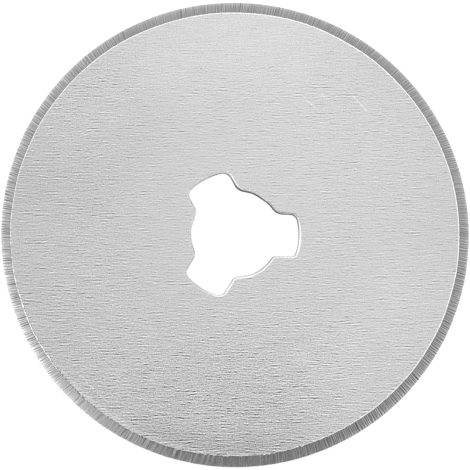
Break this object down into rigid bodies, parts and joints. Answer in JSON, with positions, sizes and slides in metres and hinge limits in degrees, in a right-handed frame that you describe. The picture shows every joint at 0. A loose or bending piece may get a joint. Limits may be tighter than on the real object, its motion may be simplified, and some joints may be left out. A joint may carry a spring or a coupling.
{
  "type": "circular knife",
  "caption": "Thin round steel blade for a hand-held rotary cutter, ground on both sides to a sharp edge, with a lobed hub hole.",
  "frame": {"origin": "centre of the back face, on the axis of the disc, where the blade lies on a surface", "axes": "+Z out of the front face along the axis of the disc, +X through the middle of one lobe of the hub hole"},
  "size_m": [0.045, 0.045, 0.0003],
  "materials": {
    "blade_steel": "brushed flat faces with fine straight grain, ground bevels with radial lines"
  },
  "bodies": {
    "root": {"blade": "blade_steel"}
  },
  "joints": []
}
